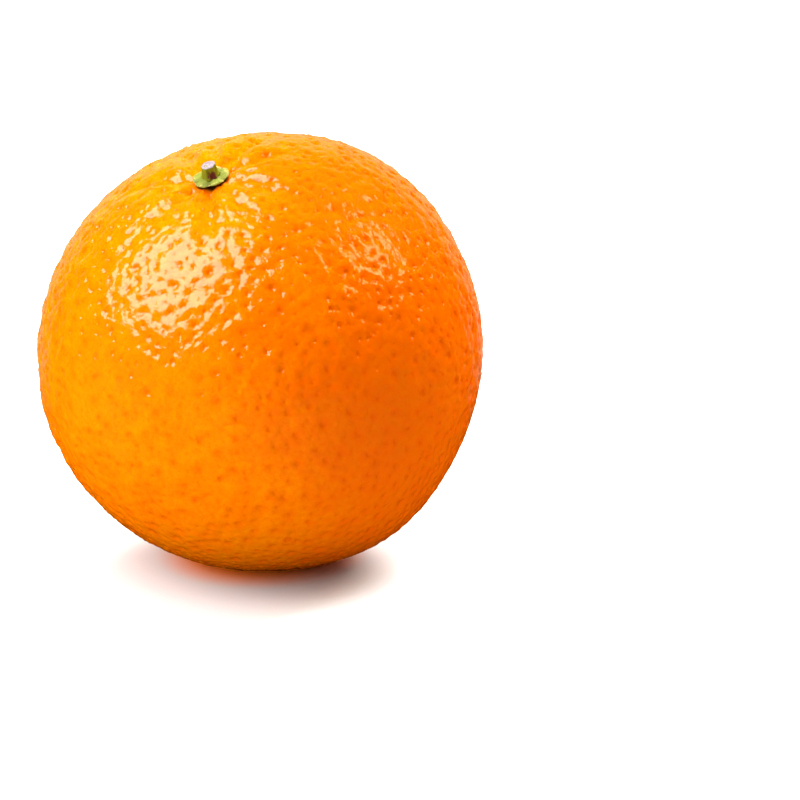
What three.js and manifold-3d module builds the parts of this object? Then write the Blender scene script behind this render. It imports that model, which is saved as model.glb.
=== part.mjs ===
// A whole sweet orange with its calyx and a short stem stub.
//
// Millimetres, +Z up, seen from the front along +Y with +X to the right. The
// origin is the middle of the small flat spot that the fruit rests on. The
// fruit lies as it rolls to rest: its stem axis leans toward the front left.
//
//   fruit      peel and flesh, grown as one solid
//   calyx      the lobed green disc at the stem end
//   stem_stub  the cut end of the stalk, standing on the calyx
//
// The fruit is an oblate spheroid. Its stem end is flattened and has a shallow
// cavity for the calyx, with furrows that run out from it. Its blossom end has
// a small scar. Each shape is worked out in the fruit's own frame, where the
// stem axis is +Z, and is then leaned over.

import * as THREE from 'three';
import { mergeVertices } from 'three/addons/utils/BufferGeometryUtils.js';
import Module from 'manifold-3d';

const wasm = await Module();
wasm.setup();

const radians = THREE.MathUtils.degToRad;

// ------------------------------------------------------- fruit dimensions

const EQUATOR_RADIUS = 39;
const POLE_RADIUS = 38.1;

// The stem axis: its angle from straight up, and its heading in plan.
const LEAN = radians(23.5);
const LEAN_HEADING = radians(236.5);

// How far the fruit's own weight presses its underside flat.
const REST_PRESS = 0.9;

// Each hollow is a bell curve of the distance from the stem axis.
const STEM_HOLLOWS = [
  { depth: 0.4, width: 16 }, // broad flattening
  { depth: 1.3, width: 6 }, // cavity for the calyx
];
const BLOSSOM_HOLLOWS = [
  { depth: 0.6, width: 14 }, // broad flattening
  { depth: 0.6, width: 1.8 }, // scar
];

// Furrows run out from the calyx. Each has a heading round the stem axis, a
// depth, and an angle from the stem axis at which it has faded to a third.
const FURROWS = [
  { heading: 18, depth: 0.6, reach: 24 },
  { heading: 53, depth: 1.1, reach: 27 },
  { heading: 87, depth: 0.6, reach: 28 },
  { heading: 113, depth: 1.1, reach: 30 },
  { heading: 160, depth: 0.9, reach: 24 },
  { heading: 215, depth: 1, reach: 24 },
  { heading: 264, depth: 1.6, reach: 23 },
  { heading: 297, depth: 0.4, reach: 20 },
  { heading: 328, depth: 0.8, reach: 24 },
];
const FURROW_START = 3.4;
const FURROW_WIDTH = 0.6;
const FURROW_SPREAD = 0.075;

// Low rises and dips that keep the fruit from being a perfect spheroid, each
// at an angle from the stem axis and a heading round it.
const LUMPS = [
  { angle: 58, heading: 29, height: 0.8, width: 24 },
  { angle: 138, heading: 305, height: 1.05, width: 20 },
  { angle: 92, heading: 188, height: 0.25, width: 26 },
  { angle: 66, heading: 255, height: 0.3, width: 22 },
  { angle: 112, heading: 95, height: -0.35, width: 26 },
  { angle: 104, heading: 330, height: -0.25, width: 22 },
  { angle: 36, heading: 75, height: -0.15, width: 24 },
  { angle: 30, heading: 20, height: 0.7, width: 20 },
];

const FRUIT_AROUND = 72;
const FRUIT_RINGS = 48;
// Moves the rings toward both ends, where the furrows and the scar are.
const RING_CROWDING = 0.22;

// -------------------------------------------- calyx and stub dimensions

// Profiles are [radius, height] points, from the axis out and back to it.
const CALYX_RADIUS = 3.1;
const CALYX_HEIGHT = 0.8;
const CALYX_PROFILE = [
  [0, 0],
  [1.6, 0.05],
  [3, 0.35],
  [CALYX_RADIUS, 0.7],
  [2.2, 0.62],
  [1.7, 0.72],
  [0, CALYX_HEIGHT],
];
const CALYX_AROUND = 40;
const CALYX_LOBES = 5;
const CALYX_LOBE_DEPTH = 0.12;
const CALYX_LOBE_HEADING = radians(20);

const STUB_HEIGHT = 1.65;
const STUB_PROFILE = [
  [0, 0],
  [1.6, 0],
  [1.42, 0.4],
  [1.3, 1],
  [1.22, STUB_HEIGHT],
  [0, STUB_HEIGHT],
];
const STUB_AROUND = 24;
// The cut slopes up toward local +X, by this much per unit of width.
const STUB_CUT_SLOPE = 0.06;

// Clear space that is left between the separate solids.
const GAP = 0.3;

// ------------------------------------------------------------- materials

const plain = (color, roughness) =>
  new THREE.MeshStandardMaterial({ color, roughness, metalness: 0 });
const PEEL = plain(0xff8c00, 0.35);
const CALYX_GREEN = plain(0xa6ae3c, 0.6);
const STUB_OLIVE = plain(0x8f8f1e, 0.7);

// --------------------------------------------------------------- helpers

const bell = (distance, width) => Math.exp(-((distance / width) ** 2));

// The unit vector at an angle from +Z and a heading round it.
const toward = (angle, heading) =>
  new THREE.Vector3(
    Math.sin(angle) * Math.cos(heading),
    Math.sin(angle) * Math.sin(heading),
    Math.cos(angle),
  );

// Keeps only positions, with shared vertices: one closed mesh.
function weld(geometry) {
  geometry.deleteAttribute('normal');
  geometry.deleteAttribute('uv');
  return mergeVertices(geometry, 1e-4);
}

// Lets move(vertex) change each vertex in turn.
function reshape(geometry, move) {
  const position = geometry.getAttribute('position');
  const vertex = new THREE.Vector3();
  for (let i = 0; i < position.count; i += 1) {
    move(vertex.fromBufferAttribute(position, i));
    position.setXYZ(i, vertex.x, vertex.y, vertex.z);
  }
  return geometry;
}

// A closed solid turned about +Z.
function turned(profile, around) {
  const points = profile.map(([radius, height]) => new THREE.Vector2(radius, height));
  return weld(new THREE.LatheGeometry(points, around).rotateX(Math.PI / 2));
}

const solidFrom = (geometry) =>
  new wasm.Manifold(
    new wasm.Mesh({
      numProp: 3,
      vertProperties: new Float32Array(geometry.getAttribute('position').array),
      triVerts: new Uint32Array(geometry.getIndex().array),
    }),
  );

function geometryFrom(solid) {
  const { vertProperties, triVerts } = solid.getMesh();
  const geometry = new THREE.BufferGeometry();
  geometry.setAttribute('position', new THREE.BufferAttribute(vertProperties, 3));
  geometry.setIndex(new THREE.BufferAttribute(triVerts, 1));
  return geometry;
}

function named(name, geometry, material) {
  geometry.computeVertexNormals();
  const mesh = new THREE.Mesh(geometry, material);
  mesh.name = name;
  return mesh;
}

// ----------------------------------------------------- the fruit's surface

// How deep the furrows are, at a distance and an angle from the stem axis.
function furrowDepth(distance, angle, heading) {
  const width = FURROW_WIDTH + FURROW_SPREAD * distance;
  const start = 1 - bell(distance, FURROW_START);
  let depth = 0;
  for (const furrow of FURROWS) {
    const turn = heading - radians(furrow.heading);
    if (Math.cos(turn) > 0) {
      const fade = Math.exp(-((angle / radians(furrow.reach)) ** 4));
      depth += furrow.depth * fade * bell(distance * Math.sin(turn), width);
    }
  }
  return start * depth;
}

function lumpHeight(direction) {
  let height = 0;
  for (const lump of LUMPS) {
    const middle = toward(radians(lump.angle), radians(lump.heading));
    height += lump.height * bell(direction.angleTo(middle), radians(lump.width));
  }
  return height;
}

// How far the surface is from the fruit's middle, along a unit vector.
function surfaceRadius(direction) {
  const angle = Math.acos(THREE.MathUtils.clamp(direction.z, -1, 1));
  const heading = Math.atan2(direction.y, direction.x);
  const radius = 1 / Math.hypot(Math.sin(angle) / EQUATOR_RADIUS, direction.z / POLE_RADIUS);
  const distance = radius * Math.sin(angle);
  let sunk = 0;
  for (const hollow of direction.z > 0 ? STEM_HOLLOWS : BLOSSOM_HOLLOWS) {
    sunk += hollow.depth * bell(distance, hollow.width);
  }
  if (direction.z > 0) {
    sunk += furrowDepth(distance, angle, heading);
  }
  return radius - sunk + lumpHeight(direction);
}

// --------------------------------------------------------------- the lean

const stemAxis = toward(LEAN, LEAN_HEADING);
const leaned = new THREE.Quaternion().setFromUnitVectors(new THREE.Vector3(0, 0, 1), stemAxis);

// A leaning spheroid touches the ground a little way from under its middle,
// toward the lean. The origin is there, so the middle goes back by as much.
const touchHeight = Math.hypot(
  EQUATOR_RADIUS * Math.sin(LEAN),
  POLE_RADIUS * Math.cos(LEAN),
);
const roundness = EQUATOR_RADIUS ** 2 - POLE_RADIUS ** 2;
const touchOffset = (roundness * Math.sin(LEAN) * Math.cos(LEAN)) / touchHeight;
const middleHeight = touchHeight - REST_PRESS;
const middle = new THREE.Vector3(
  -touchOffset * Math.cos(LEAN_HEADING),
  -touchOffset * Math.sin(LEAN_HEADING),
  middleHeight,
);

// -------------------------------------------------------------- the pieces

// A sphere whose rings crowd toward its ends, pushed out to the surface,
// leaned over, and cut flat where it rests.
function makeFruit() {
  const round = new THREE.SphereGeometry(1, FRUIT_AROUND, FRUIT_RINGS).rotateX(Math.PI / 2);
  const grown = reshape(weld(round), (vertex) => {
    const angle = Math.acos(THREE.MathUtils.clamp(vertex.z, -1, 1));
    const crowded = angle - RING_CROWDING * Math.sin(2 * angle);
    const direction = toward(crowded, Math.atan2(vertex.y, vertex.x));
    vertex.copy(direction).multiplyScalar(surfaceRadius(direction));
    vertex.applyQuaternion(leaned).add(middle);
  });
  const size = 4 * EQUATOR_RADIUS;
  const ground = weld(new THREE.BoxGeometry(size, size, size).translate(0, 0, -size / 2));
  const rested = solidFrom(grown).subtract(solidFrom(ground));
  return named('fruit', geometryFrom(rested), PEEL);
}

// A thin dished disc. Its rim is scalloped into lobes.
function makeCalyx() {
  const disc = reshape(turned(CALYX_PROFILE, CALYX_AROUND), (vertex) => {
    const outward = Math.hypot(vertex.x, vertex.y) / CALYX_RADIUS;
    const turn = Math.atan2(vertex.y, vertex.x) - CALYX_LOBE_HEADING;
    const notch = (1 - Math.cos(CALYX_LOBES * turn)) / 2;
    const scale = 1 - CALYX_LOBE_DEPTH * notch * outward ** 2;
    vertex.set(vertex.x * scale, vertex.y * scale, vertex.z);
  });
  return named('calyx', disc, CALYX_GREEN);
}

// A short tapered stalk, flared at its foot and cut a little aslant.
function makeStemStub() {
  const stalk = reshape(turned(STUB_PROFILE, STUB_AROUND), (vertex) => {
    vertex.z += (STUB_CUT_SLOPE * vertex.x * vertex.z) / STUB_HEIGHT;
  });
  return named('stem_stub', stalk, STUB_OLIVE);
}

// ------------------------------------------------------------ the assembly

const orange = new THREE.Group();
orange.name = 'orange';

// The stem end's frame: +Z along the stem axis, from the fruit's middle.
const stemEnd = new THREE.Group();
stemEnd.quaternion.copy(leaned);
stemEnd.position.copy(middle);

const calyx = makeCalyx();
calyx.position.z = surfaceRadius(new THREE.Vector3(0, 0, 1)) + GAP;

const stemStub = makeStemStub();
stemStub.position.z = calyx.position.z + CALYX_HEIGHT + GAP;

stemEnd.add(calyx, stemStub);
orange.add(makeFruit(), stemEnd);

export default orange;
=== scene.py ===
# %% [markdown]
# # An orange, from a sphere of pores to a studio picture
#
# The design file settled the size and the plain shape of a sweet orange: a
# squat ball that leans on a small flat spot, a green calyx, and the cut stub
# of its stalk. This lesson gives each of those three pieces its real surface,
# then lights them in a white studio.
#
# Everything is worked out in millimetres in the fruit's own frame, where the
# stem axis is +Z, and is leaned over and turned into metres at the very end.

import math
import random

import bmesh
import bpy
import numpy as np
from mathutils import Matrix, Vector, noise
from mathutils.kdtree import KDTree


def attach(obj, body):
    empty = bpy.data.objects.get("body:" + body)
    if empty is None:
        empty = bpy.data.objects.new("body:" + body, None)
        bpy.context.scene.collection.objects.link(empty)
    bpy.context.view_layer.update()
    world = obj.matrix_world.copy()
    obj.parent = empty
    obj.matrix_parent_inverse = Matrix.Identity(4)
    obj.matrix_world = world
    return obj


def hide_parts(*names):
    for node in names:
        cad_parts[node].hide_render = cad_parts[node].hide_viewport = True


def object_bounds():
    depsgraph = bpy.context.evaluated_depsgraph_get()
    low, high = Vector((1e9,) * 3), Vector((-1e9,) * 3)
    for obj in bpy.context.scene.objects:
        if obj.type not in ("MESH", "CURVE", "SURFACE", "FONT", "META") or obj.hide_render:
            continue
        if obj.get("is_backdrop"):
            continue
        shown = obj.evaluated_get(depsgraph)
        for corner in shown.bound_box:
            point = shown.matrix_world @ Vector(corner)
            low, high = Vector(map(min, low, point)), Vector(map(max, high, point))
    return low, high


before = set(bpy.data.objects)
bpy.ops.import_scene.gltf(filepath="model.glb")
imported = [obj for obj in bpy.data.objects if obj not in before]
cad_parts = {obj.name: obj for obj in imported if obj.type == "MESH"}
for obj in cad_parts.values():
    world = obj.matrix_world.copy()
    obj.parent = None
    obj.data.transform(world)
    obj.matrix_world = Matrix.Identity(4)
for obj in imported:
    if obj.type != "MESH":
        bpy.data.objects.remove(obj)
cad_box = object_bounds()
MM = 0.001
print("nodes in the frame:", sorted(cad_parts))
print("box in mm:", [round(float(v) / MM, 1) for corner in cad_box for v in corner])

# %% [markdown]
# ## The fruit's broad shape
#
# An orange is close to an oblate spheroid. Three things make it an orange and
# not a ball: its stem end is flattened with a shallow cavity, furrows run out
# of that cavity, and its sides have low rises and dips. A sculpted mesh could
# hold all this, but a formula for the distance of the surface from the middle
# is easier to change, and every finer layer can sit on top of it.

# %% Dimensions of the fruit, in millimetres and degrees
EQUATOR_RADIUS = 39.0
POLE_RADIUS = 38.1
LEAN = math.radians(23.5)
LEAN_HEADING = math.radians(236.5)
REST_PRESS = 0.9

STEM_HOLLOWS = ((0.4, 16.0), (1.3, 6.0))  # depth, width
BLOSSOM_HOLLOWS = ((0.6, 14.0), (0.6, 1.8))

# Heading round the stem axis, depth, and the angle where it has faded to a third.
FURROWS = (
    (18, 0.6, 24),
    (53, 1.1, 27),
    (87, 0.6, 28),
    (113, 1.1, 30),
    (160, 0.9, 24),
    (215, 1.0, 24),
    (264, 1.6, 23),
    (297, 0.4, 20),
    (328, 0.8, 24),
)
FURROW_START = 3.4
FURROW_WIDTH = 0.6
FURROW_SPREAD = 0.075

# Angle from the stem axis, heading round it, height, width in degrees.
LUMPS = (
    (58, 29, 0.8, 24),
    (138, 305, 1.05, 20),
    (92, 188, 0.25, 26),
    (66, 255, 0.3, 22),
    (112, 95, -0.35, 26),
    (104, 330, -0.25, 22),
    (36, 75, -0.15, 24),
    (30, 20, 0.7, 20),
)

# %% Distance of the surface from the fruit's middle
def bell(distance, width):
    return np.exp(-((distance / width) ** 2))


def ramp(value, low, high):
    part = np.clip((value - low) / (high - low), 0, 1)
    return part * part * (3 - 2 * part)


def toward(angle, heading):
    flat = math.sin(angle)
    return Vector((flat * math.cos(heading), flat * math.sin(heading), math.cos(angle)))


def furrow_depth(distance, angle, heading):
    width = FURROW_WIDTH + FURROW_SPREAD * distance
    depth = np.zeros_like(distance)
    for at, deep, reach in FURROWS:
        turn = heading - math.radians(at)
        fade = np.exp(-((angle / math.radians(reach)) ** 4))
        across = bell(distance * np.sin(turn), width)
        depth += np.where(np.cos(turn) > 0, deep * fade * across, 0)
    return (1 - bell(distance, FURROW_START)) * depth


def lump_height(directions):
    height = np.zeros(len(directions))
    for angle, heading, rise, width in LUMPS:
        middle = np.array(toward(math.radians(angle), math.radians(heading)))
        apart = np.arccos(np.clip(directions @ middle, -1, 1))
        height += rise * bell(apart, math.radians(width))
    return height


def surface_radius(directions):
    x, y, z = directions.T
    angle = np.arccos(np.clip(z, -1, 1))
    radius = 1 / np.hypot(np.sin(angle) / EQUATOR_RADIUS, z / POLE_RADIUS)
    distance = radius * np.sin(angle)
    stem_side = sum(deep * bell(distance, wide) for deep, wide in STEM_HOLLOWS)
    stem_side = stem_side + furrow_depth(distance, angle, np.arctan2(y, x))
    blossom_side = sum(deep * bell(distance, wide) for deep, wide in BLOSSOM_HOLLOWS)
    sunk = np.where(z > 0, stem_side, blossom_side)
    return radius - sunk + lump_height(directions)


UP = Vector((0, 0, 1))
SEAT_HEIGHT, SCAR_DEPTH = surface_radius(np.array([UP, -UP])).tolist()
print("calyx seat and blossom scar:", round(SEAT_HEIGHT, 2), round(SCAR_DEPTH, 2), "mm out")

# %% [markdown]
# ## How it leans
#
# A leaning spheroid touches the ground a little way from under its middle. The
# frame's origin is that touching point, so the middle stands back by as much.
# The last step for every piece is the same: turn by the lean, move to the
# middle, and scale from millimetres to metres.

# %% From the fruit's frame to the world
stem_axis = toward(LEAN, LEAN_HEADING)
leaned = UP.rotation_difference(stem_axis)
touch_height = math.hypot(EQUATOR_RADIUS * math.sin(LEAN), POLE_RADIUS * math.cos(LEAN))
roundness = EQUATOR_RADIUS**2 - POLE_RADIUS**2
touch_offset = roundness * math.sin(LEAN) * math.cos(LEAN) / touch_height
middle = Vector((
    -touch_offset * math.cos(LEAN_HEADING),
    -touch_offset * math.sin(LEAN_HEADING),
    touch_height - REST_PRESS,
))
to_world = Matrix.Scale(MM, 4) @ Matrix.Translation(middle) @ leaned.to_matrix().to_4x4()
print("the middle is at", [round(v, 2) for v in middle], "mm")

# %% Turning a bmesh into a finished piece
collection = bpy.context.scene.collection


def finish_piece(bm, name, node, material):
    mesh = bpy.data.meshes.new(name)
    bm.to_mesh(mesh)
    bm.free()
    mesh.shade_smooth()
    mesh.materials.append(material)
    piece = bpy.data.objects.new(name, mesh)
    collection.objects.link(piece)
    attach(piece, "root")
    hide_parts(node)
    print(name, "has", len(mesh.vertices), "points")
    return piece

# %% [markdown]
# ## Where the oil glands are
#
# The pits in orange peel lie over its oil glands. They are spread evenly but
# never in rows. A grid would show as a pattern, and a random scatter would
# leave gaps and clumps. Points on a spiral that turns by the golden angle are
# even, so they are nudged at random, joined into a net of triangles by a convex
# hull, and eased apart by smoothing.

# %% An even scatter of glands on a unit sphere
GLANDS = 3640
GLAND_JITTER = 0.016
GLAND_EASE = 0.5
GOLDEN_ANGLE = math.pi * (3 - math.sqrt(5))


def scatter_glands(seed):
    rng = random.Random(seed)
    bm = bmesh.new()
    for number in range(GLANDS):
        place = toward(math.acos(1 - (2 * number + 1) / GLANDS), number * GOLDEN_ANGLE)
        nudge = Vector([rng.gauss(0, GLAND_JITTER) for _ in range(3)])
        bm.verts.new((place + nudge).normalized())
    bmesh.ops.convex_hull(bm, input=bm.verts[:])
    missed = [point for point in bm.verts if not point.link_faces]
    bmesh.ops.delete(bm, geom=missed, context="VERTS")
    bmesh.ops.smooth_vert(
        bm, verts=bm.verts[:], factor=GLAND_EASE, use_axis_x=True, use_axis_y=True, use_axis_z=True)
    for point in bm.verts:
        point.co.normalize()
    bm.verts.index_update()
    return bm


bm = scatter_glands(seed=3)
gaps = [edge.calc_length() * EQUATOR_RADIUS for edge in bm.edges]
print(len(bm.verts), "glands,", len(bm.faces), "faces")
spread = [round(float(gap), 2) for gap in np.percentile(gaps, (0, 5, 50, 95, 100))]
print("gap between glands, from least to most:", spread, "mm")

# %% [markdown]
# ## Large pits and small ones
#
# About a quarter of the glands are large ones, and no two of those are
# neighbours. Every gland gets a radius at random within its kind. A pair that
# would overlap is shrunk until a narrow land is left between the two pits.

# %% A radius for every pit
LARGE_SHARE = 0.95  # of the glands that have no large neighbour
LARGE_RADII = (0.6, 0.8)
SMALL_RADII = (0.34, 0.55)
LAND = 0.86  # the two radii, as a share of the gap between a pair


def choose_radii(bm, seed):
    rng = random.Random(seed)
    order = list(bm.verts)
    rng.shuffle(order)
    large = set()
    for gland in order:
        beside = {edge.other_vert(gland) for edge in gland.link_edges}
        if rng.random() < LARGE_SHARE and not beside & large:
            large.add(gland)
    wanted = [rng.uniform(*(LARGE_RADII if gland in large else SMALL_RADII)) for gland in bm.verts]
    fits = [1.0] * len(wanted)
    for edge in bm.edges:
        one, other = (gland.index for gland in edge.verts)
        room = LAND * edge.calc_length() * EQUATOR_RADIUS / (wanted[one] + wanted[other])
        fits[one] = min(fits[one], room)
        fits[other] = min(fits[other], room)
    print(len(large), "large glands")
    return [radius * fit for radius, fit in zip(wanted, fits)]


radii = choose_radii(bm, seed=5)
gland_at = KDTree(len(bm.verts))
for gland in bm.verts:
    gland_at.insert(gland.co, gland.index)
gland_at.balance()

# %% [markdown]
# ## Pits as geometry
#
# Each gland becomes a real pit, so that light catches its walls from any side.
# A vertex bevel opens a small rim round every gland at once. It has about six
# sides, so each is cut in two, and the rim is drawn to the pit's own radius,
# which makes it round. An inset makes the foot of the wall, and poking the face
# inside it gives the pit its bottom. Poking the faces between the pits gives
# the peel its swell. Each gland costs 54 triangles, so these are as many pits
# as fit under two hundred thousand.

# %% Rims, walls, bottoms and swells
RIM_OFFSET = 0.2
WALL_FOOT = 0.52  # share of the pit's radius
FOOT_DEPTH = 0.8  # share of the pit's depth
SMALL_STEEPNESS = 0.14  # depth over radius
LARGE_STEEPNESS = 0.27
DEPTH_CHANGE = (0.7, 1.3)
RIM_TINT = 0.6  # share of the pit's tint, which is gland colour and painted shade
RIM_RELIEF = 0.015
SWELL = (0.05, 0.14)
FIRST_INSET = 0.05  # any small width, as the new ring is drawn to its radius at once


def set_ring(face, centre, radius):
    for point in face.verts:
        point.co = centre + (point.co - centre).normalized() * radius / EQUATOR_RADIUS


dip = bm.verts.layers.float.new("dip")
tint = bm.verts.layers.float.new("tint")
relief = bm.verts.layers.float.new("relief")
pits = bmesh.ops.bevel(
    bm, geom=bm.verts[:], offset=RIM_OFFSET / EQUATOR_RADIUS, offset_type="OFFSET",
    affect="VERTICES", segments=1, profile=0.5, clamp_overlap=True, material=-1)["faces"]
rims = {edge for face in pits for edge in face.edges}
bmesh.ops.bisect_edges(bm, edges=list(rims), cuts=1)
inside = set(pits)
lands = [face for face in bm.faces if face not in inside]

rng = random.Random(11)
centres = [face.calc_center_median() for face in pits]
pit_radii = [radii[gland_at.find(centre)[1]] for centre in centres]
pit_largeness = [float(ramp(radius, *SMALL_RADII)) for radius in pit_radii]
extra = LARGE_STEEPNESS - SMALL_STEEPNESS
depths = [
    radius * (SMALL_STEEPNESS + extra * largeness) * rng.uniform(*DEPTH_CHANGE)
    for radius, largeness in zip(pit_radii, pit_largeness)]
for face, centre, radius, largeness in zip(pits, centres, pit_radii, pit_largeness):
    set_ring(face, centre, radius)
    for point in face.verts:
        point[tint] = RIM_TINT * largeness
        point[relief] = RIM_RELIEF * rng.uniform(-1, 1)

bmesh.ops.inset_individual(
    bm, faces=pits, thickness=FIRST_INSET / EQUATOR_RADIUS, use_even_offset=True)
for face, centre, radius, largeness, depth in zip(pits, centres, pit_radii, pit_largeness, depths):
    set_ring(face, centre, WALL_FOOT * radius)
    for point in face.verts:
        point[tint] = largeness
        point[dip] = (1 - WALL_FOOT) * radius / LARGE_RADII[1]
        point[relief] = -FOOT_DEPTH * depth

bottoms = bmesh.ops.poke(bm, faces=pits, center_mode="MEAN")["verts"]
for point, radius, largeness, depth in zip(bottoms, pit_radii, pit_largeness, depths):
    point[tint] = largeness
    point[dip] = radius / LARGE_RADII[1]
    point[relief] = -depth

swells = bmesh.ops.poke(bm, faces=lands, center_mode="MEAN")["verts"]
for point in swells:
    point[relief] = rng.uniform(*SWELL)
bmesh.ops.triangulate(bm, faces=[face for face in bm.faces if len(face.verts) > 3])
print(len(bottoms), "pits,", len(swells), "swells,", len(bm.faces), "triangles")

# %% [markdown]
# ## The peel
#
# Every point of the sphere moves out to the fruit's surface, plus its relief.
# The pits fade near the calyx, where real peel is stretched smooth, and folds
# run out from it instead. A slow noise keeps the lands between pits from lying
# on one perfect curve. Sculpting could do the same, but a noise can be tuned.
# The lowest points are pressed to the ground, as the fruit's weight presses them.

# %% Growing the peel
SMOOTH_STEM = (math.radians(5), math.radians(11))
STILL_STEM = (math.radians(4), math.radians(13))
CALM_END = (math.radians(90), math.radians(118))
CALM_SHARE = 0.3  # what is left of the waves at the blossom end
WAVE_SIZE = 2.3
WAVE_HEIGHT = 0.34
# How many round the stem, how far out they go, and how high.
WRINKLES = ((6.0, 8.0, 0.5), (15.0, 7.0, 0.42))


def wrinkle_height(directions):
    """Folds that run out from the stem, from a noise that hardly changes along a radius."""
    distance = EQUATOR_RADIUS * np.hypot(directions[:, 0], directions[:, 1])
    height = np.zeros(len(directions))
    for around, reach, tall in WRINKLES:
        for at, (x, y, z) in enumerate(directions):
            if z > 0 and 1 < distance[at] < 3 * reach:
                turn = Vector((x, y, 0)).normalized() * around
                turn.z = distance[at] / (1.2 * reach)
                fade = math.exp(-((distance[at] / reach) ** 2 - 1) ** 2 / 2)
                height[at] += tall * noise.noise(turn) * fade
    return height


def grow_peel(bm):
    directions = np.array([point.co.normalized() for point in bm.verts])
    angle = np.arccos(np.clip(directions[:, 2], -1, 1))
    heights = np.array([point[relief] for point in bm.verts]) * ramp(angle, *SMOOTH_STEM)
    vigour = ramp(angle, *STILL_STEM) * (1 - (1 - CALM_SHARE) * ramp(angle, *CALM_END))
    scale = EQUATOR_RADIUS / WAVE_SIZE
    waves = np.array([noise.noise(point.co * scale) for point in bm.verts])
    heights += WAVE_HEIGHT * vigour * waves
    heights += wrinkle_height(directions)
    places = directions * (surface_radius(directions) + heights)[:, None]
    for point, place in zip(bm.verts, places):
        point.co = to_world @ Vector(place)
        point.co.z = max(point.co.z, 0)


grow_peel(bm)
bmesh.ops.recalc_face_normals(bm, faces=bm.faces[:])

# %% [markdown]
# ## Working with shader nodes
#
# Each finish is a procedural material. A few small helpers keep the node graphs
# short enough to read: one adds a node and fills its inputs, one mixes two
# colours, one turns a value into a mask, one does sums, one measures the
# distance from a point, and one reads a colour as it looks on a screen.

# %% Node helpers
def new_material(name):
    material = bpy.data.materials.new(name)
    material.use_nodes = True
    tree = material.node_tree
    return material, tree, tree.nodes["Principled BSDF"]


def add(tree, kind, inputs=None, **settings):
    node = tree.nodes.new("ShaderNode" + kind)
    for key, value in settings.items():
        setattr(node, key, value)
    for socket, value in (inputs or {}).items():
        if isinstance(value, bpy.types.NodeSocket):
            tree.links.new(value, node.inputs[socket])
        else:
            node.inputs[socket].default_value = value
    return node


def blend_colour(tree, mask, first, second):
    node = add(tree, "Mix", data_type="RGBA")
    for socket, value in ((0, mask), (6, first), (7, second)):
        if isinstance(value, bpy.types.NodeSocket):
            tree.links.new(value, node.inputs[socket])
        else:
            node.inputs[socket].default_value = value
    return node.outputs[2]


def mask_of(tree, value, low, high, to_low=0.0, to_high=1.0):
    return add(tree, "MapRange", {
        "Value": value, "From Min": low, "From Max": high, "To Min": to_low, "To Max": to_high,
    }, interpolation_type="SMOOTHSTEP").outputs["Result"]


def maths(tree, operation, *values):
    return add(tree, "Math", dict(enumerate(values)), operation=operation).outputs[0]


def distance_from(tree, place, point):
    measure = add(tree, "VectorMath", {0: place, 1: point}, operation="DISTANCE")
    return measure.outputs["Value"]


def srgb(red, green, blue):
    """A colour as it looks on a screen, from 0 to 255, turned into the nodes' linear value."""
    parts = [part / 255 for part in (red, green, blue)]
    return tuple(p / 12.92 if p <= 0.04045 else ((p + 0.055) / 1.055) ** 2.4 for p in parts) + (1,)


# %% [markdown]
# ## A shared effect: mottling
#
# Nothing grown is one flat colour. All three finishes share one effect, a
# coarse and a fine noise added up, so it is a node group that is built once.
# Its place input is in millimetres, which keeps the patterns at their real size.

# %% The mottle group
def build_mottle():
    group = bpy.data.node_groups.new("grown mottle", "ShaderNodeTree")
    for name, kind in (("Place", "NodeSocketVector"), ("Coarse Size", "NodeSocketFloat"),
                       ("Fine Size", "NodeSocketFloat"), ("Fine Share", "NodeSocketFloat")):
        group.interface.new_socket(name, in_out="INPUT", socket_type=kind)
    group.interface.new_socket("Mottle", in_out="OUTPUT", socket_type="NodeSocketFloat")
    ports = group.nodes.new("NodeGroupInput").outputs
    layers = []
    for size in ("Coarse Size", "Fine Size"):
        scale = maths(group, "DIVIDE", 1.0, ports[size])
        layers.append(add(group, "TexNoise", {
            "Vector": ports["Place"], "Scale": scale, "Detail": 2.0, "Roughness": 0.5,
        }).outputs["Fac"])
    mixed = add(group, "Mix", {0: ports["Fine Share"], 2: layers[0], 3: layers[1]}).outputs[0]
    out = group.nodes.new("NodeGroupOutput")
    group.links.new(mixed, out.inputs["Mottle"])
    return group


mottle_group = build_mottle()


def mottle(tree, place, coarse, fine, share):
    node = add(tree, "Group", node_tree=mottle_group)
    tree.links.new(place, node.inputs["Place"])
    for name, value in (("Coarse Size", coarse), ("Fine Size", fine), ("Fine Share", share)):
        node.inputs[name].default_value = value
    return node.outputs["Mottle"]


def place_in_mm(tree, height):
    """Object coordinates in the fruit's frame and in mm, from a height up the stem axis."""
    origin = to_world @ Vector((0, 0, height))
    turn = leaned.to_euler()
    coords = add(tree, "TexCoord").outputs["Object"]
    return add(tree, "Mapping", {
        "Vector": coords, "Location": origin, "Rotation": turn, "Scale": (MM, MM, MM),
    }, vector_type="TEXTURE").outputs["Vector"]
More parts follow.
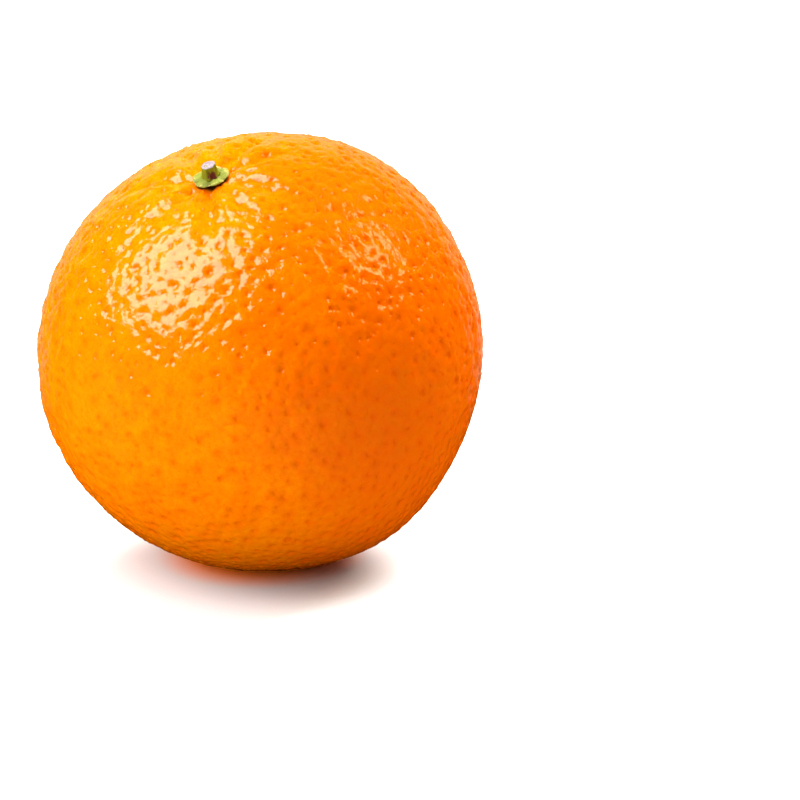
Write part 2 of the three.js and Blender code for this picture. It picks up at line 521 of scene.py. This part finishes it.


# %% [markdown]
# ## The peel's finish
#
# Orange peel is a saturated orange under a thin natural wax. Its colour drifts slowly over the fruit
# and is yellower on the side toward the key box, while a painted shade makes it deeper and redder
# toward the side away from it. Inside the pits it is deeper as well, partly from the glands' own colour
# and partly from painted shade. A painted shadow turns it brown under the calyx, out to its rim, and it
# dries to tan at the blossom scar. Painting could give this, but masks in the fruit's own frame keep it
# sharp at any distance. The wax gives one clear, fairly sharp gloss, tinted a little toward cream and
# broken by relief that is finer than the pits. A little light travels under the skin, which softens the
# shading of the pits.

# %% Peel material
# The peel's colour on its lit side, and a deeper, redder copy that carries painted shade on the side
# away from the key box.
PEEL_LIGHT = (0.72, 0.177, 0.0, 1)
PEEL_DEEP_AND_SHADED = (0.64, 0.108, 0.0, 1)
PEEL_PIT = (0.66, 0.078, 0.0, 1)
# A brown painted shadow on the peel under the calyx, seen in the gap below its rim.
PEEL_CALYX_SHADOW = srgb(70, 34, 4)
SEAT = Vector((0, 0, SEAT_HEIGHT))
CALYX_SHADOW_RING = (2.5, 3.2)  # reach of the painted shadow under the calyx, in mm from its seat
PEEL_SCAR = srgb(140, 84, 28)
SCAR = Vector((0, 0, -SCAR_DEPTH))
SCAR_REACH = (0.7, 1.7)
# The side away from the key box, where a painted shade makes the peel deeper and redder.
PAINTED_SHADE_SIDE = leaned.inverted() @ Vector((0.98, -0.05, 0.12))
PAINTED_SHADE_RAMP = (-7, 20)  # where the painted shade starts and is full, in mm from the middle
DRIFT = 24  # how far the drift moves that edge, in mm
PIT_CUT = 0.02  # these three are bump heights in mm
RIPPLE = 0.18
GRAIN = 0.03
WAX_TINT = (1, 0.95, 0.78, 1)


def build_peel():
    material, tree, shader = new_material("orange peel")
    place = place_in_mm(tree, 0)
    dip_at = add(tree, "Attribute", attribute_name="dip").outputs["Fac"]
    tint_at = add(tree, "Attribute", attribute_name="tint").outputs["Fac"]

    drift = mottle(tree, place, 16.0, 1.1, 0.35)
    # Painted shade: the peel turns deeper and redder toward the side away from the key box, its edge
    # moved about by the slow drift.
    toward_painted_shade = add(
        tree, "VectorMath", {0: place, 1: PAINTED_SHADE_SIDE}, operation="DOT_PRODUCT").outputs["Value"]
    drift_and_shade = maths(tree, "MULTIPLY_ADD", maths(tree, "SUBTRACT", drift, 0.5), DRIFT * 2.0, toward_painted_shade)
    skin = blend_colour(tree, mask_of(tree, drift_and_shade, *PAINTED_SHADE_RAMP), PEEL_LIGHT, PEEL_DEEP_AND_SHADED)
    # Deeper inside the pits: partly the glands' own colour, partly painted shade in the hollows.
    spotted = blend_colour(tree, mask_of(tree, tint_at, 0.0, 1.0, 0.0, 0.4), skin, PEEL_PIT)
    speckle = mask_of(tree, mottle(tree, place, 0.9, 0.35, 0.5), 0.42, 0.68, 0.0, 0.35)
    speckled = blend_colour(tree, speckle, spotted, PEEL_PIT)
    # Painted shadow: the peel turns brown under the calyx, out to its rim.
    from_seat = distance_from(tree, place, SEAT)
    calyx_shadowed = blend_colour(tree, mask_of(tree, from_seat, *CALYX_SHADOW_RING), PEEL_CALYX_SHADOW, speckled)
    from_scar = distance_from(tree, place, SCAR)
    colour = blend_colour(tree, mask_of(tree, from_scar, *SCAR_REACH), PEEL_SCAR, calyx_shadowed)
    tree.links.new(colour, shader.inputs["Base Color"])

    pits = mask_of(tree, dip_at, 0.04, 0.8, 0.0, -PIT_CUT)
    rippled = maths(tree, "MULTIPLY_ADD", mottle(tree, place, 1.3, 0.8, 0.4), RIPPLE, pits)
    height = maths(tree, "MULTIPLY_ADD", mottle(tree, place, 0.55, 0.24, 0.4), GRAIN, rippled)
    bump = add(tree, "Bump", {"Height": height, "Strength": 1.0, "Distance": MM})
    tree.links.new(bump.outputs["Normal"], shader.inputs["Normal"])
    tree.links.new(mask_of(tree, drift, 0.3, 0.7, 0.06, 0.09), shader.inputs["Roughness"])

    shader.inputs["IOR"].default_value = 1.58
    shader.inputs["Specular Tint"].default_value = WAX_TINT
    shader.inputs["Subsurface Weight"].default_value = 0.5
    shader.inputs["Subsurface Radius"].default_value = (1.0, 0.4, 0.1)
    shader.inputs["Subsurface Scale"].default_value = 0.8 * MM
    return material


peel = finish_piece(bm, "peel", "fruit", build_peel())

# %% [markdown]
# ## The calyx
#
# The calyx is what is left of the flower's green cup: five blunt sepals grown
# into one thin dished disc. Five separate leaves would show seams, so it is
# turned in one from a profile. Its rim is then drawn in between the sepals and
# roughened, and creases are pressed where they meet.

# %% Calyx profile and turning
CALYX_TOP = (
    (0, 0.74), (1.2, 0.76), (1.55, 0.72), (1.9, 0.64), (2.3, 0.6), (2.7, 0.6), (3.0, 0.58))
CALYX_RIM = ((3.16, 0.5), (3.2, 0.4), (3.14, 0.3))
CALYX_UNDER = ((2.9, 0.22), (2.2, 0.1), (1.3, 0.0), (0, 0))
CALYX_RADIUS = 3.2
CALYX_STEPS = 96
CALYX_LIFT = 0.2  # its rim stands a little clear of the peel


def turn_profile(profile, steps):
    bm = bmesh.new()
    points = [bm.verts.new((radius, 0, height)) for radius, height in profile]
    edges = [bm.edges.new(pair) for pair in zip(points, points[1:])]
    bmesh.ops.spin(
        bm, geom=points + edges, cent=(0, 0, 0), axis=UP, angle=math.tau, steps=steps, use_merge=True)
    bmesh.ops.remove_doubles(bm, verts=bm.verts[:], dist=1e-4)
    bmesh.ops.recalc_face_normals(bm, faces=bm.faces[:])
    return bm


calyx_bm = turn_profile(CALYX_TOP + CALYX_RIM + CALYX_UNDER, CALYX_STEPS)
print("calyx faces:", len(calyx_bm.faces))

# %% Sepals, creases and a ragged rim
SEPAL_MEETINGS = [math.radians(a) for a in (48, 118, 196, 262, 322)]
SEPAL_NOTCH = 0.28
CREASE_DEPTH = 0.16
CREASE_WIDTH = 0.22


def nearest_meeting(heading):
    turns = [(heading - at + math.pi) % math.tau - math.pi for at in SEPAL_MEETINGS]
    return min(turns, key=abs)


def shape_calyx(bm):
    crease = bm.verts.layers.float.new("crease")
    outward = bm.verts.layers.float.new("outward")
    for point in bm.verts:
        radius = math.hypot(point.co.x, point.co.y)
        heading = math.atan2(point.co.y, point.co.x)
        out = radius / CALYX_RADIUS
        across = nearest_meeting(heading)
        fold = math.exp(-((across / CREASE_WIDTH) ** 2))
        rough = noise.noise(Vector((3 * math.cos(heading), 3 * math.sin(heading), 0)) * 2.4)
        grow = 1 - SEPAL_NOTCH * fold * out**4 / 3.2 + 0.035 * rough * out**2
        point[crease] = fold * min(1, max(0, (out - 0.45) / 0.35))
        point[outward] = out
        lift = 0.14 * noise.noise(point.co * 0.9) * out
        if point.co.z > 0.45:
            lift -= CREASE_DEPTH * point[crease]
            lift += 0.06 * noise.noise(point.co * 3)
        point.co = Vector((point.co.x * grow, point.co.y * grow, point.co.z + lift))


shape_calyx(calyx_bm)


# %% [markdown]
# The disc is an uneven leafy green with a painted shade darkening its creases, and its rim has begun to
# dry to a pale straw colour in flecks.

# %% Calyx material
CALYX_DARK = srgb(96, 102, 8)
CALYX_PALE = srgb(118, 124, 30)
CALYX_CREASE_SHADE = srgb(84, 86, 6)
CALYX_DRY = srgb(214, 178, 104)


def build_calyx():
    material, tree, shader = new_material("calyx green")
    place = place_in_mm(tree, SEAT_HEIGHT)
    crease = add(tree, "Attribute", attribute_name="crease").outputs["Fac"]
    outward = add(tree, "Attribute", attribute_name="outward").outputs["Fac"]

    blotch = mottle(tree, place, 1.2, 0.3, 0.4)
    green = blend_colour(tree, mask_of(tree, blotch, 0.35, 0.6), CALYX_DARK, CALYX_PALE)
    # Painted shade: the pressed creases are darkened.
    crease_shaded = blend_colour(tree, mask_of(tree, crease, 0.35, 0.95, 0.0, 0.8), green, CALYX_CREASE_SHADE)
    dry = mottle(tree, place, 0.7, 0.25, 0.5)
    edge = maths(
        tree, "MULTIPLY", mask_of(tree, dry, 0.54, 0.6), mask_of(tree, outward, 0.72, 0.94))
    flecked = blend_colour(tree, edge, crease_shaded, CALYX_DRY)
    tree.links.new(flecked, shader.inputs["Base Color"])

    bump = add(tree, "Bump", {"Height": blotch, "Strength": 0.8, "Distance": 0.12 * MM})
    tree.links.new(bump.outputs["Normal"], shader.inputs["Normal"])
    tree.links.new(mask_of(tree, dry, 0.3, 0.7, 0.5, 0.7), shader.inputs["Roughness"])
    return material


calyx_bm.transform(to_world @ Matrix.Translation((0, 0, SEAT_HEIGHT + CALYX_LIFT)))
calyx = finish_piece(calyx_bm, "calyx_disc", "calyx", build_calyx())

# %% [markdown]
# ## The stem stub
#
# The stalk was cut close to the fruit. What is left is a short ribbed peg that
# flares where it joins the calyx. A plain cylinder would look machined, so it
# is turned from a profile too. Ribs are drawn out of its side, its cut end is
# dished, and the whole peg leans a little.

# %% Stub profile and turning
STUB_SIDE = (
    (1.72, 0.66), (1.56, 0.8), (1.42, 1.05), (1.33, 1.4), (1.28, 1.8), (1.26, 2.1), (1.24, 2.45))
STUB_CUT = ((1.23, 2.66), (1.17, 2.73), (1.0, 2.75), (0.6, 2.7), (0.3, 2.67), (0, 2.66))
STUB_BOTTOM = ((0, 0.62),)
STUB_STEPS = 64
STUB_TOP = 2.73
STUB_FOOT = 0.62
CUT_ABOVE = 2.65
CUT_WITHIN = 1.2
CUT_SLOPE = 0.06

stub_bm = turn_profile(STUB_BOTTOM + STUB_SIDE + STUB_CUT, STUB_STEPS)


def shape_stub(bm):
    cut = bm.verts.layers.float.new("cut")
    for point in bm.verts:
        radius = math.hypot(point.co.x, point.co.y)
        heading = math.atan2(point.co.y, point.co.x)
        up = (point.co.z - STUB_FOOT) / (STUB_TOP - STUB_FOOT)
        point[cut] = 1.0 if point.co.z > CUT_ABOVE and radius < CUT_WITHIN else 0.0
        x, y, z = math.cos(heading), math.sin(heading), point.co.z
        rib = noise.noise(Vector((2.2 * x, 2.2 * y, 0.25 * z)))
        fine = noise.noise(Vector((6 * x, 6 * y, 0.5 * z)))
        grow = 1 + (0.16 - 0.08 * up) * rib + 0.04 * fine
        point.co.x *= grow
        point.co.y *= grow
        point.co.z += CUT_SLOPE * up * point.co.x + 0.05 * up * noise.noise(point.co * 2.5)
        point.co.x += 0.1 * up
        point.co.y += 0.05 * up


shape_stub(stub_bm)
print("stub faces:", len(stub_bm.faces))


# %% [markdown]
# The bark is olive with a brown graze low on one side. The cut end is pale
# wood with a small pith, which has a greenish ring round it.

# %% Stub material
BARK_DARK = srgb(88, 88, 2)
BARK_PALE = srgb(114, 114, 10)
GRAZE = (0.55, -1.25, 1.4)
GRAZE_BROWN = srgb(84, 32, 20)
PITH = (-0.35, -0.1, 2.87)
PITH_PALE = srgb(166, 158, 110)
PITH_RING = srgb(104, 98, 38)
WOOD_DARK = srgb(112, 100, 106)
WOOD_PALE = srgb(148, 136, 140)


def build_stub():
    material, tree, shader = new_material("cut stalk")
    place = place_in_mm(tree, SEAT_HEIGHT)
    cut = add(tree, "Attribute", attribute_name="cut").outputs["Fac"]

    fibre_place = add(tree, "Mapping", {"Vector": place, "Scale": (1, 1, 0.22)}).outputs["Vector"]
    fibre = mottle(tree, fibre_place, 0.8, 0.22, 0.5)
    bark = blend_colour(tree, mask_of(tree, fibre, 0.35, 0.62), BARK_DARK, BARK_PALE)
    graze = distance_from(tree, place, GRAZE)
    scarred = maths(tree, "ADD", graze, maths(tree, "MULTIPLY", fibre, 1.4))
    side = blend_colour(tree, mask_of(tree, scarred, 1.25, 1.75), GRAZE_BROWN, bark)

    pith = distance_from(tree, place, PITH)
    wood = mottle(tree, place, 0.5, 0.15, 0.5)
    pale = blend_colour(tree, mask_of(tree, wood, 0.35, 0.65), WOOD_DARK, WOOD_PALE)
    ringed = blend_colour(tree, mask_of(tree, pith, 0.26, 0.34), PITH_RING, pale)
    end = blend_colour(tree, mask_of(tree, pith, 0.08, 0.14), PITH_PALE, ringed)
    colour = blend_colour(tree, mask_of(tree, cut, 0.4, 0.6), side, end)
    tree.links.new(colour, shader.inputs["Base Color"])

    bump = add(tree, "Bump", {"Height": fibre, "Strength": 0.9, "Distance": 0.15 * MM})
    tree.links.new(bump.outputs["Normal"], shader.inputs["Normal"])
    tree.links.new(mask_of(tree, fibre, 0.3, 0.7, 0.55, 0.8), shader.inputs["Roughness"])
    shader.inputs["Specular IOR Level"].default_value = 0.12
    return material


stub_bm.transform(to_world @ Matrix.Translation((0, 0, SEAT_HEIGHT + CALYX_LIFT)))
stub = finish_piece(stub_bm, "stalk_stub", "stem_stub", build_stub())

# %% [markdown]
# ## The studio floor
#
# The fruit stands on a white sweep that is lit until it is pure white, so only
# the darkest part of the shadow is left to see. A brighter lamp would get there
# too, but it would burn out the fruit. So the floor has two colours: the one
# that the camera sees is brighter than the one that lights the fruit.
#
# Light that bounces between the peel and the floor turns the shadow warm near
# the resting spot. The bounce from the dimmer floor is too weak to show, so the
# camera's colour is warmed there, to more than white in its red. The floor is
# kept small, because a far edge in poor light would show as a grey band.

# %% Floor
FLOOR_RADIUS = 0.9
FLOOR_TO_FRUIT = 0.55
FLOOR_TO_CAMERA = (0.79, 0.81, 0.81, 1)
FLOOR_BELOW = (1.4, 0.38, 0.05, 1)  # warmed by the peel close above it
WARM_REACH = (10, 20)  # mm from the resting spot
FLOOR_SIDES = 64


def build_floor():
    material, tree, shader = new_material("white sweep")
    tree.nodes.remove(shader)
    seen = add(tree, "LightPath").outputs["Is Camera Ray"]
    coords = add(tree, "TexCoord").outputs["Object"]
    away = add(tree, "VectorMath", {0: coords}, operation="LENGTH").outputs["Value"]
    plain = mask_of(tree, away, *(reach * MM for reach in WARM_REACH))
    colour = blend_colour(tree, plain, FLOOR_BELOW, FLOOR_TO_CAMERA)
    for_fruit = add(tree, "BsdfDiffuse", {"Color": (FLOOR_TO_FRUIT,) * 3 + (1,)}).outputs[0]
    for_camera = add(tree, "BsdfDiffuse", {"Color": colour}).outputs[0]
    both = add(tree, "MixShader", {0: seen, 1: for_fruit, 2: for_camera}).outputs[0]
    tree.links.new(both, tree.nodes["Material Output"].inputs["Surface"])
    bm = bmesh.new()
    bmesh.ops.create_circle(bm, segments=FLOOR_SIDES, radius=FLOOR_RADIUS, cap_ends=True)
    mesh = bpy.data.meshes.new("floor")
    bm.to_mesh(mesh)
    bm.free()
    mesh.materials.append(material)
    floor = bpy.data.objects.new("floor", mesh)
    collection.objects.link(floor)
    floor.visible_glossy = False
    floor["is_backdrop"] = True
    return floor


floor = build_floor()

# %% [markdown]
# ## Light
#
# A white studio lights the fruit from all round. One big soft box stands high
# at the front left and makes the broad broken highlight. A smaller, yellower
# panel at the right makes a fainter second one. Three fills, two at the left and
# one behind, only open up the shade. In a real studio they would leave marks
# on the wax as well, but here they are left out of the gloss. It sees only the
# two boxes and a warm wall behind, so the colour stays deep everywhere else.

# %% Studio surround
AMBIENT = 0.06
WALL_GLOSS = 0.6
WALL_COLOUR = (1, 0.88, 0.55, 1)
WALL_STARTS = (0.72, 0.97)  # how far toward the back, as a part of a unit vector
WALL_RISES = (-0.34, -0.24)  # how far up
WHITE = (1, 1, 1, 1)


def build_world():
    world = bpy.data.worlds.new("studio")
    bpy.context.scene.world = world
    world.use_nodes = True
    world.cycles.sampling_method = "NONE"
    tree = world.node_tree
    tree.nodes.clear()
    path = add(tree, "LightPath").outputs
    heading = add(tree, "SeparateXYZ", {0: add(tree, "TexCoord").outputs["Generated"]}).outputs
    behind = mask_of(tree, heading["Y"], *WALL_STARTS)
    wall = maths(tree, "MULTIPLY", behind, mask_of(tree, heading["Z"], *WALL_RISES))
    shine = maths(tree, "MULTIPLY", wall, WALL_GLOSS)
    gloss = add(tree, "Background", {"Color": WALL_COLOUR, "Strength": shine}).outputs[0]
    ambient = add(tree, "Background", {"Color": WHITE, "Strength": AMBIENT}).outputs[0]
    white = add(tree, "Background", {"Color": WHITE, "Strength": 1.0}).outputs[0]
    lit = add(tree, "MixShader", {0: path["Is Glossy Ray"], 1: ambient, 2: gloss}).outputs[0]
    seen = add(tree, "MixShader", {0: path["Is Camera Ray"], 1: lit, 2: white}).outputs[0]
    tree.links.new(seen, add(tree, "OutputWorld").inputs["Surface"])
    print("the studio's surround has", len(tree.nodes), "nodes")


build_world()

# %% Soft boxes
fruit_middle = middle * MM


def soft_box(name, direction, distance, degrees, radiance, glossy=True, colour=(1, 1, 1)):
    """An area light that faces the fruit and looks the stated size and brightness from it."""
    wide, tall = (2 * distance * math.tan(math.radians(part) / 2) for part in degrees)
    light = bpy.data.lights.new(name, "AREA")
    light.shape = "RECTANGLE"
    light.size = wide
    light.size_y = tall
    light.energy = radiance * math.pi * light.size * light.size_y
    light.color = colour
    lamp = bpy.data.objects.new(name, light)
    direction = Vector(direction).normalized()
    lamp.location = fruit_middle + direction * distance
    lamp.rotation_euler = (-direction).to_track_quat("-Z", "Y").to_euler()
    lamp.visible_camera = False
    lamp.visible_glossy = glossy
    collection.objects.link(lamp)
    print(name, round(light.energy, 2), "W")
    return lamp


soft_box("key box", (-0.587, -0.239, 0.774), 0.7, (46, 48), 6.8)
soft_box("side panel", (0.716, 0.004, 0.698), 0.7, (15, 21), 6.5, colour=(1, 0.82, 0.45))
soft_box("left fill", (-0.8, -0.6, 0.12), 0.9, (50, 50), 4.6, glossy=False)
soft_box("far left fill", (-1, 0.15, 0.15), 0.9, (50, 50), 1.3, glossy=False)
soft_box("back fill", (0.3, 0.5, 0.75), 0.9, (62, 62), 13.0, glossy=False)

# %% [markdown]
# ## Camera
#
# A long lens from just above table height keeps the fruit's outline true. The
# fruit sits left of the middle of the picture and a little above it, so the
# camera aims at a point to its right and below.

# %% Camera
LENS = 135
SENSOR = 36
ELEVATION = math.radians(15)
FRUIT_SHARE = 0.5535  # the fruit's widest diameter, as a share of the picture's width
ASIDE = 0.1724  # how far the fruit's middle is from the picture's, as shares of its width
ABOVE = 0.0624

sight = Vector((0, -math.cos(ELEVATION), math.sin(ELEVATION)))
right = Vector((1, 0, 0))
above = sight.cross(right)
width_there = 2 * EQUATOR_RADIUS * MM / FRUIT_SHARE
distance = width_there * LENS / SENSOR
camera_data = bpy.data.cameras.new("camera")
camera_data.lens = LENS
camera_data.sensor_width = SENSOR
camera = bpy.data.objects.new("camera", camera_data)
camera.location = fruit_middle + sight * distance
aim = fruit_middle + right * width_there * ASIDE - above * width_there * ABOVE
camera.rotation_euler = (aim - camera.location).to_track_quat("-Z", "Y").to_euler()
collection.objects.link(camera)
bpy.context.scene.camera = camera
bpy.context.scene.view_settings.view_transform = "Standard"
print("camera", round(distance, 3), "m away")

# %% Sizes, and the last line
visual_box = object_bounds()
sizes = {"cad": [list(corner) for corner in cad_box], "visual": [list(corner) for corner in visual_box]}
for name, (low, high) in sizes.items():
    print(name, [round((b - a) / MM, 1) for a, b in zip(low, high)], "mm")
